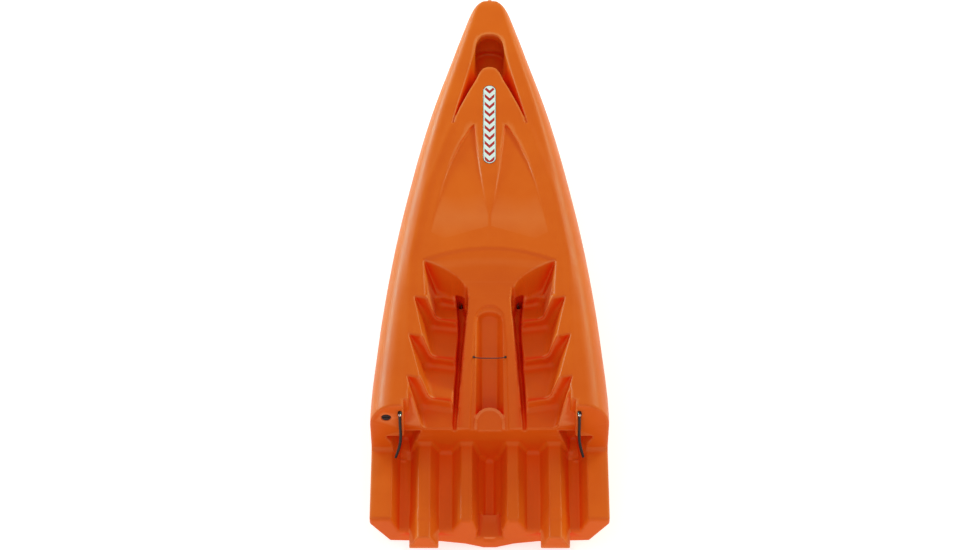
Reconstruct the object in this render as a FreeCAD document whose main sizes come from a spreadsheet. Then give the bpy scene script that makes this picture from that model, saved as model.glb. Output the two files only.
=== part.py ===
"""Bow section of a modular sit-on-top kayak: one hollow moulded hull and its fittings.

Frame: +X to starboard, +Y to the bow, +Z up. The origin is the middle of the section's
length on its centreline, at the height of the keel. Millimetres.
"""
import FreeCAD, Part
import math
import os

V = FreeCAD.Vector

DRIVING = [
    ("overall_length", 1998), ("beam_width", 764), ("shoulder_height", 350),
    ("bow_height", 388), ("wall", 4.5), ("tongue_height", 140), ("rib_top", 134),
    ("groove_floor", 86), ("centre_groove_floor", 40), ("end_wall_y", -634),
    ("cockpit_front_y", -50), ("cockpit_sill", 208), ("scupper_radius", 9),
    ("drain_recess_radius", 15), ("drain_recess_depth", 9), ("drain_thread_radius", 10),
    ("drain_insert_radius", 19), ("drain_insert_length", 16), ("gasket_wire", 1.4),
    ("cord_diameter", 9.5), ("eye_radius", 7), ("eye_thickness", 10),
    ("bolt_radius", 2.5), ("bolt_head_radius", 4.2), ("bolt_head_height", 2.8),
    ("bolt_length", 25), ("washer_radius", 5.2), ("washer_thickness", 1.2),
    ("anchor_insert_radius", 5), ("anchor_insert_length", 14),
    ("bungee_diameter", 3), ("stud_head_radius", 4.2), ("stud_head_height", 2.5),
    ("stud_radius", 2.9), ("stud_length", 11), ("decal_film", 0.6),
]

doc = FreeCAD.newDocument("kayak_bow_section")
dims = doc.addObject("Spreadsheet::Sheet", "dims")
for row, (alias, value) in enumerate(DRIVING, start=1):
    dims.set("A%d" % row, alias)
    dims.set("B%d" % row, str(value))
    dims.setAlias("B%d" % row, alias)
doc.recompute()


def size(alias):
    return float(dims.get(alias))


WALL = size("wall")
HALF_LENGTH = size("overall_length") / 2
HALF_BEAM = size("beam_width") / 2
END_WALL_Y = size("end_wall_y")
TONGUE_Z = size("tongue_height")
SILL_Z = size("cockpit_sill")
FRONT_Y = size("cockpit_front_y")
FACE_RUN = 33
FACE_FOOT_Y = END_WALL_Y - FACE_RUN
FACE_LEAN = FACE_RUN / (size("shoulder_height") - TONGUE_Z)
SHOULDER_INNER_X = 272
END_FOOT_Y = -955
END_TOP_Y = -926
TALL = 600
PAST_END_Y = -1100
PAST_SIDE_X = 460


# ---------------------------------------------------------------- hull lines

def outline_curve():
    """Half of the plan outline at the gunwale, from the coupling end to the stem."""
    points = [(-990, 1.0), (-634, 0.995), (-338, 0.935), (-32, 0.832), (285, 0.678),
              (526, 0.531), (769, 0.335), (893, 0.228), (965, 0.142), (999, 0.02)]
    curve = Part.BSplineCurve()
    curve.interpolate([V(HALF_BEAM * share, y, 0) for y, share in points])
    return curve


OUTLINE = outline_curve()


def half_beam(y):
    low, high = OUTLINE.FirstParameter, OUTLINE.LastParameter
    for _ in range(40):
        middle = (low + high) / 2
        if OUTLINE.value(middle).y < y:
            low = middle
        else:
            high = middle
    return OUTLINE.value(low).x


def keel_height(y):
    """The keel is straight aft and sweeps up to the stem."""
    return 318 * max(0, (y - 250) / 750) ** 4.5


def side_deck_height(y):
    low, high = size("shoulder_height"), size("bow_height")
    if y < END_WALL_Y:
        return low
    share = min(1, (y - END_WALL_Y) / (900 - END_WALL_Y))
    height = low + (high - low) * math.sin(share * math.pi / 2)
    return height - 20 * max(0, (y - 900) / 100) ** 2


def section(y, inset):
    """Closed section of the hull across its length, set in by the wall thickness."""
    half = max(3, half_beam(y) - inset)
    keel = keel_height(y) + inset
    crown = side_deck_height(y) - inset
    depth = crown - keel
    bow = max(0, (y + 200) / 1200) ** 2
    flat = 20 * min(1, half / 200)
    lower_chine = half * (0.84 - 0.30 * bow)
    right = [V(flat, y, keel), V(0.41 * half, y, keel + 0.088 * depth),
             V(lower_chine, y, keel + 0.104 * depth),
             V(half * (0.995 - 0.10 * bow), y, keel + 0.323 * depth)]
    gunwale = V(half, y, keel + 0.737 * depth)
    crown_x = half * (0.79 - 0.22 * bow)
    shoulder = []
    for angle in (30, 60, 90):
        turn = math.radians(angle)
        shoulder.append(V(crown_x + (half - crown_x) * math.cos(turn), y,
                          gunwale.z + (crown - gunwale.z) * math.sin(turn)))
    top = [gunwale] + shoulder + [V(0.4 * half, y, crown + 0.02 * half),
                                  V(0, y, crown + 0.024 * half)]
    top = top + [V(-p.x, p.y, p.z) for p in reversed(top[:-1])]
    deck = Part.BSplineCurve()
    deck.interpolate(top)
    side = right + [gunwale]
    edges = [Part.makeLine(a, b) for a, b in zip(side, side[1:])]
    edges.append(deck.toShape())
    left = [V(-p.x, p.y, p.z) for p in reversed(side)]
    edges += [Part.makeLine(a, b) for a, b in zip(left, left[1:])]
    edges.append(Part.makeLine(left[-1], right[0]))
    return Part.Wire(edges)


STATIONS = [-1000, -634, -480, -320, -160, 0, 160, 310, 450, 570, 680, 770, 840, 900, 940, 970, 988, 998]


def hull_loft(inset):
    stations = list(STATIONS)
    stations[-1] -= 0.6 * inset
    return Part.makeLoft([section(y, inset) for y in stations], True, True)


# ------------------------------------------------------------- cutting tools

def prism(outline, low, high):
    """Upright prism on a plan outline."""
    wire = Part.makePolygon([V(x, y, low) for x, y in outline + outline[:1]])
    return Part.Face(wire).extrude(V(0, 0, high - low))


def drafted(outline, outer_points, slope, low, high):
    """Prism whose outer wall leans out: the outline is at the shoulder's height, and the
    listed points move outboard by slope per unit of height."""
    wires = []
    for z in (low, high):
        shift = (z - size("shoulder_height")) * slope
        ring = [V(x + shift if index in outer_points else x, y, z) for index, (x, y) in enumerate(outline)]
        wires.append(Part.makePolygon(ring + ring[:1]))
    return Part.makeLoft(wires, True, True)


def across(profile, left, right):
    """Prism along X on a side profile of (y, z) points."""
    wire = Part.makePolygon([V(left, y, z) for y, z in profile + profile[:1]])
    return Part.Face(wire).extrude(V(right - left, 0, 0))


def along(profile, aft, fore):
    """Prism along Y on a section of (x, z) points."""
    wire = Part.makePolygon([V(x, aft, z) for x, z in profile + profile[:1]])
    return Part.Face(wire).extrude(V(0, fore - aft, 0))


def mirrored(shape):
    return shape.mirror(V(0, 0, 0), V(1, 0, 0))


def both_sides(shape):
    return [shape, mirrored(shape)]


CONSOLE_TOP_Z = 368
CONSOLE_DROP_POWER = 1.06


def console_height(y):
    share = (FRONT_Y - y) / (FRONT_Y - END_WALL_Y)
    return CONSOLE_TOP_Z - (CONSOLE_TOP_Z - SILL_Z) * share ** CONSOLE_DROP_POWER


# Each foot brace: front y, outer x at its front and at its aft end at deck height, floor
# height at its front and aft end, and the outward lean of its outer wall.
BRACES = [
    (-150, 207, 205, 222, 255, 0.26),
    (-242, 237, 213, 218, 253, 0.26),
    (-388, 252, 226, 214, 250, 0.26),
    (-543, 257, 239, 210, SILL_Z, 0.16),
]
RISER_SKEW = 14
CONSOLE_FRONT_X = 73
CONSOLE_AFT_X = 104
CHANNEL_FRONT_WIDTH = 34
CHANNEL_WIDTH = 24


def console_x(y):
    share = (-206 - y) / (-206 - END_WALL_Y)
    return CONSOLE_FRONT_X + (CONSOLE_AFT_X - CONSOLE_FRONT_X) * max(0, share)


def brace_tool(index, grow):
    front, outer_front, outer_aft, floor_front, floor_aft, lean = BRACES[index]
    last = index == len(BRACES) - 1
    aft = END_WALL_Y - 40 if last else BRACES[index + 1][0]
    skew = RISER_SKEW
    plan = [(outer_front + grow, front + skew + grow), (outer_aft + grow, aft + (0 if last else skew)),
            (outer_aft + grow, aft - (0 if last else grow)), (console_x(aft) - grow, aft - skew),
            (console_x(front) - grow, front - skew + grow), (console_x(front) + 60, front + grow)]
    column = drafted(plan, (0, 1, 2), lean, 100, TALL)
    floor = [(front + skew + grow + 1, floor_front - grow), (aft - skew, floor_aft - grow),
             (aft - skew, TALL + 10), (front + skew + grow + 1, TALL + 10)]
    if last:
        floor = [(front + skew + grow + 1, floor_front - grow), (aft - 10, SILL_Z - grow),
                 (aft - 10, TALL + 10), (front + skew + grow + 1, TALL + 10)]
    return column.common(across(floor, 20, 330))


TOE_LIP_Z = 262
CHANNEL_FRONT_Y = -146
CHANNEL_FLOOR_Z = 196
CHANNEL_COVER_Y = -190
CHANNEL_COVER_Z = 280
SCUPPER = (93, -157)


def toe_tool(grow):
    """The foremost toe recess, with its curved front wall, down to the first tread's lip."""
    plan = [(209 + grow, -92 + grow), (165, -112 + grow), (119 - grow, -133 + grow),
            (86 - grow, -157 + grow), (CONSOLE_FRONT_X - grow, -190 + grow),
            (CONSOLE_FRONT_X - grow, -242), (205 + grow, -242)]
    return drafted(plan, (0, 6), BRACES[0][-1], TOE_LIP_Z - grow, TALL)


def channel_tool(grow):
    """Drain channel between the treads and the console, with the scupper at its front."""
    front = CHANNEL_FRONT_Y + grow
    aft = END_WALL_Y - 30
    plan = [(CONSOLE_FRONT_X - grow, front), (CONSOLE_FRONT_X + CHANNEL_FRONT_WIDTH + grow, front),
            (console_x(END_WALL_Y) + CHANNEL_WIDTH + grow, aft), (console_x(END_WALL_Y) - grow, aft)]
    floor = CHANNEL_FLOOR_Z - grow
    lid = across([(CHANNEL_COVER_Y, TALL + 10), (CHANNEL_COVER_Y, CHANNEL_COVER_Z + grow),
                  (front + 10, CHANNEL_COVER_Z + grow), (front + 10, TALL + 10)], 0, 200)
    return prism(plan, floor, TALL).cut(lid)


LEDGE_TOP = (-566, 358)
LEDGE_FOOT = (-640, 226)
LEDGE_NARROW_X = 262
LEDGE_WIDE_Y = -612


def ledge_height(y):
    share = (y - LEDGE_FOOT[0]) / (LEDGE_TOP[0] - LEDGE_FOOT[0])
    return LEDGE_FOOT[1] + (LEDGE_TOP[1] - LEDGE_FOOT[1]) * share


def ledge_tool(grow):
    """The corner between the last brace and the shoulder slopes down to the end wall."""
    pieces = []
    for front, inner, outer in ((LEDGE_TOP[0], 200, LEDGE_NARROW_X), (LEDGE_WIDE_Y, 240, SHOULDER_INNER_X)):
        past = LEDGE_FOOT[0] - 30
        foot = LEDGE_FOOT[1] - grow
        profile = [(front + grow, TALL), (front + grow, ledge_height(front) - grow),
                   (LEDGE_FOOT[0], foot), (past, foot), (past, TALL)]
        pieces.append(across(profile, inner, outer + grow))
    return pieces[0].fuse(pieces[1])


DIP_RADIUS = 541
DIP_CORNER = (209, -92)
COCKPIT_HALF = (196, -215)
CONSOLE_CUT_X = 110
CONSOLE_CUT_AFT_Y = -760


def console_tool(grow):
    """Everything above the console's sloping top, forward to the arc where the deck dips."""
    steps = [FRONT_Y, -150, -250, -350, -450, -550, END_WALL_Y]
    slope = [(y, console_height(y) - grow) for y in steps]
    aft = CONSOLE_CUT_AFT_Y
    profile = ([(FRONT_Y + 20, slope[0][1])] + slope
               + [(aft, SILL_Z - 30 - grow), (aft, TALL), (FRONT_Y + 20, TALL)])
    wide = across(profile, -230, 230)
    arc = Part.makeCylinder(DIP_RADIUS + grow, TALL, V(0, FRONT_Y - DIP_RADIUS, 0))
    corner = DIP_CORNER[0] + grow
    half = [(corner, DIP_CORNER[1]), (COCKPIT_HALF[0] + grow, COCKPIT_HALF[1]),
            (CONSOLE_CUT_X, COCKPIT_HALF[1]), (CONSOLE_CUT_X, aft)]
    plan = [(0, 0), (corner, 0)] + half + [(-x, y) for x, y in reversed(half)] + [(-corner, 0)]
    return wide.common(arc).common(prism(plan, 0, TALL + 20))


TROUGH_FRONT = -252
TROUGH_AFT = -562
TROUGH_HALF = 44
TROUGH_DEPTH_FRONT = 34
TROUGH_DEPTH_AFT = 62
TROUGH_NOSE_RISE = 14


def trough_tool(grow):
    """Bottle trough down the console, with a rounded front."""
    half = TROUGH_HALF + grow
    front = TROUGH_FRONT - TROUGH_HALF
    body = prism([(-half, TROUGH_AFT - grow), (half, TROUGH_AFT - grow), (half, front), (-half, front)],
                 0, TALL)
    nose = Part.makeCylinder(half, TALL, V(0, front, 0))
    low_front = console_height(front) - TROUGH_DEPTH_FRONT
    low_aft = console_height(TROUGH_AFT) - TROUGH_DEPTH_AFT
    profile = [(TROUGH_FRONT + grow + 1, low_front + TROUGH_NOSE_RISE - grow), (front, low_front - grow),
               (TROUGH_AFT - grow, low_aft - grow), (TROUGH_AFT - grow, TALL),
               (TROUGH_FRONT + grow + 1, TALL)]
    return body.fuse(nose).common(across(profile, -80, 80))


ARCH_HALF = 40
ARCH_CENTRE_Y = -606
ARCH_DEPTH = 5


def arch_tool(grow):
    """Shallow arched recess between the bottle trough and the end wall."""
    half = ARCH_HALF + grow
    plan = prism([(-half, -700), (half, -700), (half, ARCH_CENTRE_Y), (-half, ARCH_CENTRE_Y)], 0, TALL)
    plan = plan.fuse(Part.makeCylinder(half, TALL, V(0, ARCH_CENTRE_Y, 0)))
    profile = [(-560, console_height(-572) - ARCH_DEPTH - grow),
               (-700, console_height(END_WALL_Y) - 34 - grow), (-700, TALL), (-560, TALL)]
    return plan.common(across(profile, -80, 80))


def bow_pocket_tool(grow):
    """Grab pocket: a deep scoop under the nose whose arms wrap round a central tongue."""
    outer = [(0, 828 + grow), (28 + grow, 821 + grow), (42 + grow, 804), (50 + grow, 760),
             (66 + grow, 700), (88 + grow, 610), (112 + grow, 502), (114, 478 - grow),
             (104 - grow, 496), (66 - grow, 596), (44 - grow, 640), (35 - grow, 670),
             (16, 689 - grow), (0, 692 - grow)]
    half = prism(outer, 0, TALL)
    floor = [(840 + grow, 266 - grow), (700, 272 - grow), (560, 345 - grow), (470 - grow, 392 - grow),
             (470 - grow, TALL), (840 + grow, TALL)]
    return half.fuse(mirrored(half)).common(across(floor, -150, 150))


CENTRE_GROOVE = (13, 35)
INNER_RIB = (56, 91)
INNER_GROOVE = (120, 161)
OUTER_RIB = (189, 227)
OUTER_GROOVE = (253, 287)
CHEEK_X = 312
CENTRE_STEP = 26


def tongue_profile(grow):
    """Top of the coupling tongue across its width, as half of (x, z) points."""
    rib = size("rib_top") - grow
    floor = size("groove_floor") - grow
    deep = size("centre_groove_floor") - grow
    cheek = TONGUE_Z - grow
    return [(CENTRE_GROOVE[0] + grow, deep), (CENTRE_GROOVE[1] + grow, deep + CENTRE_STEP),
            (INNER_RIB[0] + grow, rib), (INNER_RIB[1] - grow, rib),
            (INNER_GROOVE[0] - grow, floor), (INNER_GROOVE[1] + grow, floor),
            (OUTER_RIB[0] + grow, rib), (OUTER_RIB[1] - grow, rib),
            (OUTER_GROOVE[0] - grow, floor), (OUTER_GROOVE[1] + grow, floor),
            (CHEEK_X + grow, cheek), (PAST_SIDE_X, cheek)]


def tongue_tool(grow):
    """Everything above the tongue, back from the cockpit's end wall and the shoulders."""
    half = tongue_profile(grow)
    outline = half + [(PAST_SIDE_X, TALL), (-PAST_SIDE_X, TALL)] + [(-x, z) for x, z in reversed(half)]
    block = along(outline, PAST_END_Y, END_WALL_Y + grow)
    inner = SHOULDER_INNER_X + grow
    fore = END_WALL_Y + 60
    sill = prism([(-inner, fore), (inner, fore), (inner, PAST_END_Y), (-inner, PAST_END_Y)], 0, TALL)
    low = TONGUE_Z - 60
    lean = across([(FACE_FOOT_Y + grow + (low - TONGUE_Z) * FACE_LEAN, low), (PAST_END_Y, low),
                   (PAST_END_Y, TALL), (FACE_FOOT_Y + grow + (TALL - TONGUE_Z) * FACE_LEAN, TALL)],
                  -PAST_SIDE_X, PAST_SIDE_X)
    return block.common(lean.fuse(sill))


SOCKET_FORE_Y = -596
SOCKET_TOP_Z = 204
SOCKET_MOUTH = (216, 329)
KEY_HALF = 34
KEY_FLOOR_Z = 52
KEY_FORE_Y = -858


def socket_tool(grow):
    """The outer groove runs on under the shoulder as a socket for the next section's rib."""
    floor = size("groove_floor") - grow
    top = SOCKET_TOP_Z + grow
    profile = [(OUTER_GROOVE[0] - grow, floor), (OUTER_GROOVE[1] + grow, floor),
               (CHEEK_X + grow, TONGUE_Z), (SOCKET_MOUTH[1] + grow, top - 14), (SOCKET_MOUTH[1] + grow, top),
               (SOCKET_MOUTH[0] - grow, top), (SOCKET_MOUTH[0] - grow, top - 14),
               (OUTER_GROOVE[0] - 16 - grow, size("rib_top"))]
    return along(profile, -700, SOCKET_FORE_Y + grow)


def centre_notch_tool(grow):
    """Wider end of the centre groove, where the next section's key drops in."""
    half = KEY_HALF + grow
    floor = KEY_FLOOR_Z - grow
    return along([(-half, floor), (half, floor), (half, 200), (-half, 200)], PAST_END_Y, KEY_FORE_Y + grow)


def scupper_tool(grow):
    return Part.makeCylinder(size("scupper_radius") + grow, 300, V(SCUPPER[0], SCUPPER[1], -20))


def all_recesses(grow):
    halves = [toe_tool(grow), channel_tool(grow), ledge_tool(grow), socket_tool(grow), scupper_tool(grow)]
    halves += [brace_tool(index, grow) for index in range(len(BRACES))]
    tools = []
    for half in halves:
        tools += both_sides(half)
    tools += [console_tool(grow), trough_tool(grow), arch_tool(grow), bow_pocket_tool(grow),
              tongue_tool(grow), centre_notch_tool(grow)]
    return tools


def end_trim(grow):
    """Leaning end face of the tongue: what lies aft of it."""
    lean = (END_TOP_Y - END_FOOT_Y) / TONGUE_Z
    return across([(END_FOOT_Y + grow - 40 * lean, -40), (END_FOOT_Y + grow + TALL * lean, TALL),
                   (-1300, TALL), (-1300, -40)], -500, 500)


TENON_FOOT_Z = 78
TENON_FOOT_HALF = 48.5
TENON_BEVEL = 10


def rib_tenon(side):
    """The outer rib's end, which stands out past the end face."""
    centre = side * (OUTER_RIB[0] + OUTER_RIB[1]) / 2
    half = (OUTER_RIB[1] - OUTER_RIB[0]) / 2
    top = size("rib_top")
    trapezoid = [(centre - TENON_FOOT_HALF, TENON_FOOT_Z), (centre + TENON_FOOT_HALF, TENON_FOOT_Z),
                 (centre + half, top), (centre - half, top)]
    block = along(trapezoid, -HALF_LENGTH, -900)
    bevel = across([(-HALF_LENGTH - 1, TENON_FOOT_Z - 10), (-HALF_LENGTH - 1, TALL),
                    (-HALF_LENGTH + TENON_BEVEL, TALL), (-HALF_LENGTH + TENON_BEVEL, top),
                    (-HALF_LENGTH, TENON_FOOT_Z), (-HALF_LENGTH, TENON_FOOT_Z - 10)], -300, 300)
    return block.cut(bevel)


# ----------------------------------------------------- fitting axes and bosses

TILT = math.atan(FACE_LEAN)
FACE_NORMAL = V(0, -math.cos(TILT), math.sin(TILT))
FACE_DOWN = V(0, -math.sin(TILT), -math.cos(TILT))


def on_face(x, z):
    """Point of the shoulder's aft face at this x and height."""
    return V(x, FACE_FOOT_Y + (z - TONGUE_Z) * math.tan(TILT), z)


DRAIN = on_face(-328, 291)
ANCHORS = {"left": on_face(-284, 318), "right": on_face(284, 318)}

# The console's top runs straight between these two stations, under the bungee's studs.
STUD_BAY = (-350, -450)
STUD_SLOPE = (console_height(STUD_BAY[0]) - console_height(STUD_BAY[1])) / (STUD_BAY[0] - STUD_BAY[1])
STUD_NORMAL = V(0, -STUD_SLOPE, 1).normalize()
STUD_Y = -404
STUD_Z = console_height(STUD_BAY[0]) + (STUD_Y - STUD_BAY[0]) * STUD_SLOPE
STUD_X = 51
STUDS = {"left": V(-STUD_X, STUD_Y, STUD_Z), "right": V(STUD_X, STUD_Y, STUD_Z)}
FIT = 0.05


def rod(point, radius, start, length):
    """Cylinder on the shoulder face's normal, from start outward."""
    return Part.makeCylinder(radius, length, point + FACE_NORMAL * start, FACE_NORMAL)


BOSS = 5


def bosses():
    """Thick places in the wall behind each insert."""
    depth = size("drain_recess_depth") + size("drain_insert_length") + WALL
    made = [rod(DRAIN, size("drain_insert_radius") + BOSS, -depth, depth)]
    for point in ANCHORS.values():
        made.append(rod(point, size("anchor_insert_radius") + BOSS,
                        -size("anchor_insert_length") - BOSS, 40))
    return made


def fitting_holes():
    recess = size("drain_recess_depth")
    holes = [rod(DRAIN, size("drain_recess_radius"), -recess, recess + 20),
             rod(DRAIN, size("drain_insert_radius"), -recess - size("drain_insert_length"),
                 size("drain_insert_length")),
             rod(DRAIN, size("drain_thread_radius"), -recess - size("drain_insert_length") - 20, 30)]
    for point in ANCHORS.values():
        holes.append(rod(point, size("anchor_insert_radius"), -size("anchor_insert_length"),
                         size("anchor_insert_length") + 5))
    for point in STUDS.values():
        holes.append(Part.makeCylinder(size("stud_radius") + FIT, 30, point - STUD_NORMAL * 15, STUD_NORMAL))
    return holes


def hull_shape():
    outer = hull_loft(0).cut([end_trim(0)] + all_recesses(0))
    for side in (-1, 1):
        outer = outer.fuse(rib_tenon(side))
    core = hull_loft(WALL).cut([end_trim(WALL)] + all_recesses(WALL) + bosses())
    return outer.cut(core).cut(fitting_holes())


# ------------------------------------------------------------------ fittings

def turned(normal):
    """Rotation that stands a piece's own Z on this direction."""
    return FreeCAD.Rotation(V(0, 0, 1), normal)


def stood(point, normal, start):
    return FreeCAD.Placement(point + normal * start, turned(normal))


def cylinder(name, radius, height, lift=0):
    """Cylinder whose radius and height are expressions on the sheet."""
    piece = doc.addObject("Part::Cylinder", name)
    piece.setExpression("Radius", radius)
    piece.setExpression("Height", height)
    piece.Placement.Base = V(0, 0, lift)
    return piece


def finish(piece, label, placement):
    piece.Label = label
    piece.Placement = placement
    return piece


def cut(name, base, tool):
    piece = doc.addObject("Part::Cut", name)
    piece.Base = base
    piece.Tool = tool
    return piece


def fuse(name, base, tool):
    piece = doc.addObject("Part::Fuse", name)
    piece.Base = base
    piece.Tool = tool
    return piece


def part_from_shape(label, shape):
    piece = doc.addObject("Part::Feature", label)
    piece.Shape = shape
    piece.Placement = FreeCAD.Placement()
    piece.Label = label
    return piece


def ring(label, outer, inner, height, placement):
    """Plain ring: washers and inserts."""
    body = cylinder(label + "_blank", outer, height)
    hole = cylinder(label + "_bore", inner, height)
    return finish(cut(label, body, hole), label, placement)


def origin_plane(body, role):
    return next(item for item in body.Origin.OriginFeatures if item.Role == role)


PLUG_LENGTH = 16
PLUG_CHAMFER = 1.5
PLUG_RIM = 1.0
PLUG_HEAD = 4.2
PLUG_CLEARANCE = 0.3
SLOT_HALF_LENGTH = 11
SLOT_HALF_WIDTH = 1.6
SLOT_DEPTH = 2.6
PLUG_SEAT = 3.0


def drain_plug():
    """Turned plug with a coin slot across its head."""
    body = doc.addObject("PartDesign::Body", "drain_plug")
    sketch = body.newObject("Sketcher::SketchObject", "plug_profile")
    sketch.AttachmentSupport = [(origin_plane(body, "XZ_Plane"), "")]
    sketch.MapMode = "FlatFace"
    shank = size("drain_thread_radius") - PLUG_CLEARANCE
    head = size("drain_recess_radius") - 0.5
    outline = [V(0, -PLUG_LENGTH, 0), V(shank - PLUG_CHAMFER, -PLUG_LENGTH, 0),
               V(shank, PLUG_CHAMFER - PLUG_LENGTH, 0), V(shank, 0, 0), V(head, 0, 0),
               V(head, PLUG_HEAD - PLUG_RIM, 0), V(head - PLUG_RIM, PLUG_HEAD, 0), V(0, PLUG_HEAD, 0)]
    for start, end in zip(outline, outline[1:] + outline[:1]):
        sketch.addGeometry(Part.LineSegment(start, end), False)
    doc.recompute()
    turning = body.newObject("PartDesign::Revolution", "plug_turning")
    turning.Profile = sketch
    turning.ReferenceAxis = (sketch, ["V_Axis"])
    turning.Angle = 360
    doc.recompute()
    slot_sketch = body.newObject("Sketcher::SketchObject", "slot_outline")
    slot_sketch.AttachmentSupport = [(origin_plane(body, "XY_Plane"), "")]
    slot_sketch.MapMode = "FlatFace"
    slot_sketch.AttachmentOffset = FreeCAD.Placement(V(0, 0, PLUG_HEAD), FreeCAD.Rotation())
    corners = [V(x * SLOT_HALF_LENGTH, y * SLOT_HALF_WIDTH, 0)
               for x, y in ((-1, -1), (1, -1), (1, 1), (-1, 1))]
    for start, end in zip(corners, corners[1:] + corners[:1]):
        slot_sketch.addGeometry(Part.LineSegment(start, end), False)
    doc.recompute()
    slot = body.newObject("PartDesign::Pocket", "coin_slot")
    slot.Profile = slot_sketch
    slot.Length = SLOT_DEPTH
    doc.recompute()
    return finish(body, "drain_plug", stood(DRAIN, FACE_NORMAL, PLUG_SEAT - size("drain_recess_depth")))


GASKET_GAP = 0.1


def drain_fittings():
    """Threaded insert in the hull, the plug's gasket, and the plug."""
    seat = -size("drain_recess_depth")
    insert = ring("drain_insert", "dims.drain_insert_radius", "dims.drain_thread_radius",
                  "dims.drain_insert_length", stood(DRAIN, FACE_NORMAL, seat - size("drain_insert_length")))
    gasket = doc.addObject("Part::Torus", "drain_gasket")
    gasket.setExpression("Radius1", "dims.drain_thread_radius + 2")
    gasket.setExpression("Radius2", "dims.gasket_wire")
    finish(gasket, "drain_gasket", stood(DRAIN, FACE_NORMAL, seat + size("gasket_wire") + GASKET_GAP))
    return [insert, gasket, drain_plug()]


EYE_GAP = 0.3
NECK = 8
BOLT_SOCKET_DEPTH = 1.8


def anchor_fittings(side):
    """Threaded insert, shoulder bolt, washer and the moulded eye that turns on the bolt."""
    point = ANCHORS[side]
    insert = ring("anchor_insert_" + side, "dims.anchor_insert_radius", "dims.bolt_radius",
                  "dims.anchor_insert_length", stood(point, FACE_NORMAL, -size("anchor_insert_length")))
    washer_start = EYE_GAP + size("eye_thickness") + EYE_GAP
    washer = ring("anchor_washer_" + side, "dims.washer_radius", "dims.bolt_radius",
                  "dims.washer_thickness", stood(point, FACE_NORMAL, washer_start))
    head_start = washer_start + size("washer_thickness")
    shank = cylinder("bolt_shank_" + side, "dims.bolt_radius", "dims.bolt_length")
    head = cylinder("bolt_head_" + side, "dims.bolt_head_radius", "dims.bolt_head_height",
                    size("bolt_length"))
    socket = doc.addObject("Part::Prism", "bolt_socket_" + side)
    socket.Polygon = 6
    socket.setExpression("Circumradius", "dims.bolt_radius * 0.8")
    socket.setExpression("Height", "dims.bolt_head_height")
    socket.Placement.Base = V(0, 0, size("bolt_length") + size("bolt_head_height") - BOLT_SOCKET_DEPTH)
    bolt = cut("anchor_bolt_" + side, fuse("bolt_blank_" + side, head, shank), socket)
    finish(bolt, "anchor_bolt_" + side, stood(point, FACE_NORMAL, head_start - size("bolt_length")))
    return [insert, washer, bolt, eye(side)]


def eye(side):
    """Round eye with a short neck that grips the cord."""
    middle = ANCHORS[side] + FACE_NORMAL * (EYE_GAP + size("eye_thickness") / 2)
    thick = size("eye_thickness")
    disc = Part.makeCylinder(size("eye_radius"), thick, middle - FACE_NORMAL * (thick / 2), FACE_NORMAL)
    neck = Part.makeCylinder(size("cord_diameter") / 2 + 0.2, size("eye_radius") + NECK, middle, FACE_DOWN)
    bore = Part.makeCylinder(size("bolt_radius") + FIT, 40, middle - FACE_NORMAL * 20, FACE_NORMAL)
    return part_from_shape("cord_eye_" + side, disc.fuse(neck).cut(bore).removeSplitter())


# --------------------------------------------------------------------- cords

def cord_path(route):
    """Straight runs joined by tangent arcs, each as large as its two runs allow."""
    edges = []
    start = route[0]
    radii = []
    for before, corner, after in zip(route, route[1:], route[2:]):
        back, ahead = before - corner, after - corner
        turn = math.pi - back.getAngle(ahead)
        reach = 0.45 * min(back.Length, ahead.Length)
        radii.append(round(reach / math.tan(turn / 2), 1))
        enter = corner + back.normalize() * reach
        leave = corner + ahead.normalize() * reach
        bisector = (back + ahead).normalize()
        radius = reach / math.tan(turn / 2)
        centre = corner + bisector * (radius / math.cos(turn / 2))
        middle = centre - bisector * radius
        edges.append(Part.LineSegment(start, enter).toShape())
        edges.append(Part.Arc(enter, middle, leave).toShape())
        start = leave
    edges.append(Part.LineSegment(start, route[-1]).toShape())
    return Part.Wire(edges), radii


def cord(label, route, diameter):
    path, radii = cord_path(route)
    direction = route[1] - route[0]
    mouth = Part.Wire(Part.makeCircle(diameter / 2, route[0], direction))
    tube = path.makePipeShell([mouth], True, False)
    expected = math.pi * diameter ** 2 / 4 * path.Length
    print(label, "length", round(path.Length, 1), "radii", radii, "volume share",
          round(tube.Volume / expected, 4))
    return part_from_shape(label, tube)


def neck_end(side):
    middle = ANCHORS[side] + FACE_NORMAL * (EYE_GAP + size("eye_thickness") / 2)
    return middle + FACE_DOWN * (size("eye_radius") + NECK)


COUPLING_ROUTES = {
    "left": [V(-284, -657, 269), V(-282, -674, 230), V(-286, -694, 195), V(-300, -714, 164)],
    "right": [V(285, -657, 270), V(284, -673, 231), V(288, -692, 195), V(299, -711, 162)],
}


def bungee_route():
    """Out of one stud, over and straight across the trough, into the other stud."""
    half = []
    for x, y, rise in ((STUD_X, STUD_Y, -6), (STUD_X, STUD_Y, 6.5), (STUD_X - 8, STUD_Y - 6, 8)):
        foot = V(x, y, STUD_Z + (y - STUD_Y) * STUD_SLOPE)
        half.append(foot + STUD_NORMAL * rise)
    return half + [V(-point.x, point.y, point.z) for point in reversed(half)]


def stud(side):
    """Domed stud with a hole for the bungee."""
    point = STUDS[side]
    radius, height = size("stud_head_radius"), size("stud_head_height")
    shank = Part.makeCylinder(size("stud_radius"), size("stud_length"),
                              point - STUD_NORMAL * size("stud_length"), STUD_NORMAL)
    head = Part.makeCone(radius, radius * 0.7, height, point, STUD_NORMAL)
    hole = Part.makeCylinder(size("bungee_diameter") / 2 + FIT, 60, point - STUD_NORMAL * 30, STUD_NORMAL)
    return part_from_shape("bungee_stud_" + side, shank.fuse(head).cut(hole).removeSplitter())


# --------------------------------------------------------------------- decal

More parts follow.
